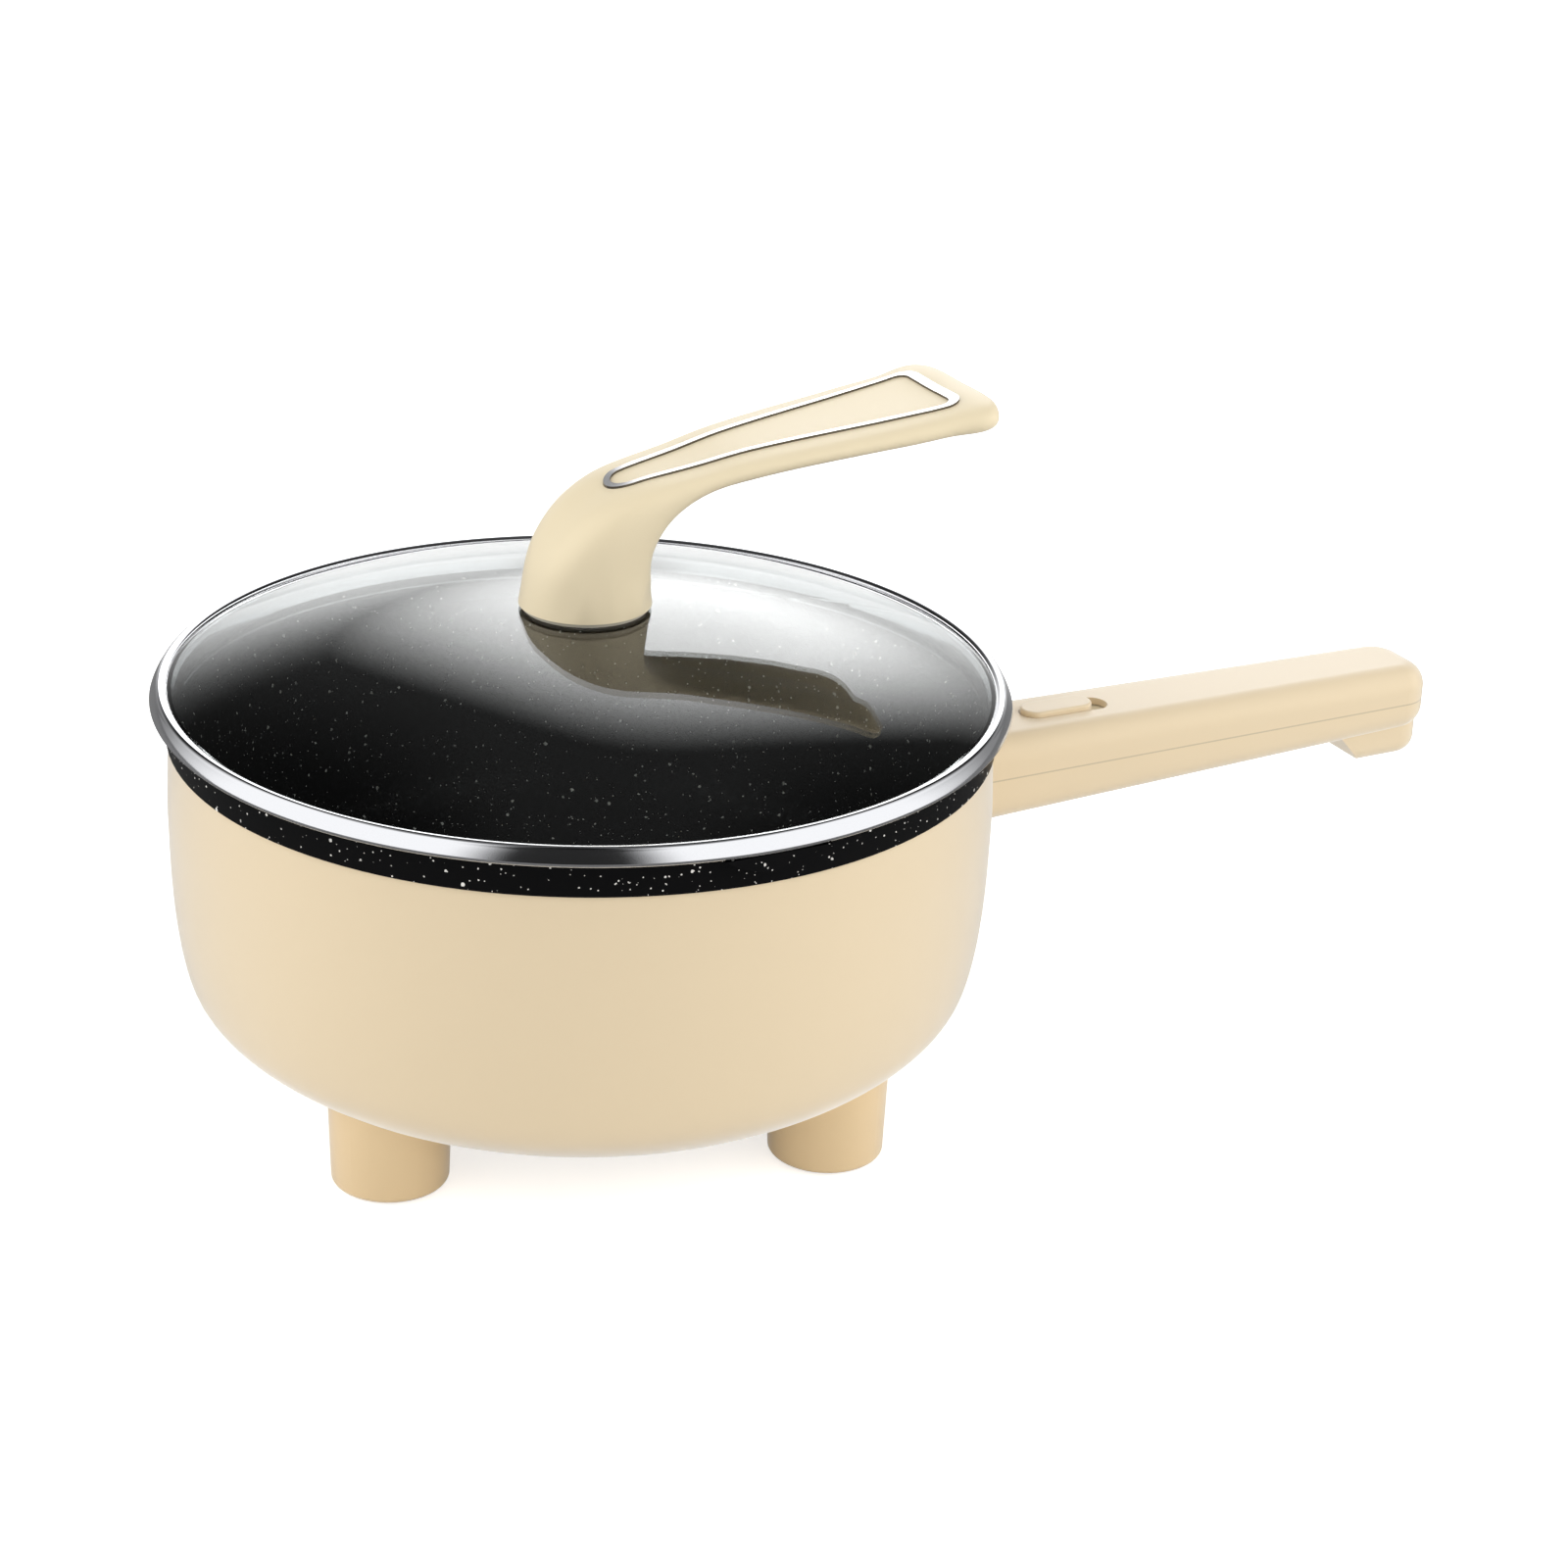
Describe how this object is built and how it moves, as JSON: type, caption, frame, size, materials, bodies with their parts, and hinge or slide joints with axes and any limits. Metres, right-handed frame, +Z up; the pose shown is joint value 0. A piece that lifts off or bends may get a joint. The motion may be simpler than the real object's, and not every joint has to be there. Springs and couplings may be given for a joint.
{
  "type": "electric multicooker",
  "caption": "Electric multicooker: round cream housing with a non-stick pot on round feet, a long side handle with slide switch and inlet, and a loose glass lid with an arched handle.",
  "frame": {"origin": "the pot's axis at floor level, midway between the feet", "axes": "+X along the main handle towards its end, +Z up along the pot's axis"},
  "size_m": [0.4525, 0.265, 0.2144],
  "materials": {
    "cream_plastic": "satin",
    "button_plastic": "satin",
    "carrier_plastic": "moulded",
    "coated_aluminium": "speckled non-stick coating",
    "plate_aluminium": "cast",
    "steel": "brushed",
    "screw_steel": "zinc plated",
    "chromed_plastic": "polished",
    "brass": "turned",
    "glass": "clear, tempered",
    "ceramic": "fired",
    "dark_plastic": "moulded",
    "silicone": "moulded",
    "lead_sheath": "extruded"
  },
  "bodies": {
    "cooker": {"housing": "cream_plastic", "base_cover": "cream_plastic", "handle_upper": "cream_plastic", "handle_lower": "cream_plastic", "leg_1": "cream_plastic", "leg_2": "cream_plastic", "leg_3": "cream_plastic", "leg_4": "cream_plastic", "inner_pot": "coated_aluminium", "heating_plate": "plate_aluminium", "heat_shield": "steel", "base_pillars": "steel", "thermostat_strap": "steel", "mount_plate": "steel", "heater_tube": "steel", "heater_terminals": "steel", "earth_stud": "steel", "leg_screws": "screw_steel", "base_screws": "screw_steel", "strap_screws": "screw_steel", "cover_screws": "screw_steel", "mount_screws": "screw_steel", "switch_blades": "brass", "inlet_pins": "brass", "heater_insulators": "ceramic", "thermal_fuse": "ceramic", "thermostat": "dark_plastic", "switch_body": "dark_plastic", "inlet_sleeve": "dark_plastic", "leg_pad_1": "silicone", "leg_pad_2": "silicone", "leg_pad_3": "silicone", "leg_pad_4": "silicone", "supply_lead": "lead_sheath", "load_lead": "lead_sheath", "neutral_lead": "lead_sheath", "earth_lead": "lead_sheath"},
    "lid": {"lid_glass": "glass", "lid_rim": "steel", "lid_gasket": "silicone", "lid_washer": "silicone", "lid_plate": "steel", "lid_screw": "screw_steel", "lid_insert": "brass", "lid_handle": "cream_plastic", "lid_trim": "chromed_plastic"},
    "switch": {"switch_button": "button_plastic", "switch_carrier": "carrier_plastic"}
  },
  "joints": [
    {"name": "lid_lift", "type": "slide", "parent": "cooker", "child": "lid", "axis": [0, 0, 1], "range_m": [0, 0.12]},
    {"name": "switch_slide", "type": "slide", "parent": "cooker", "child": "switch", "axis": [1, 0, 0], "range_m": [0, 0.006]}
  ]
}
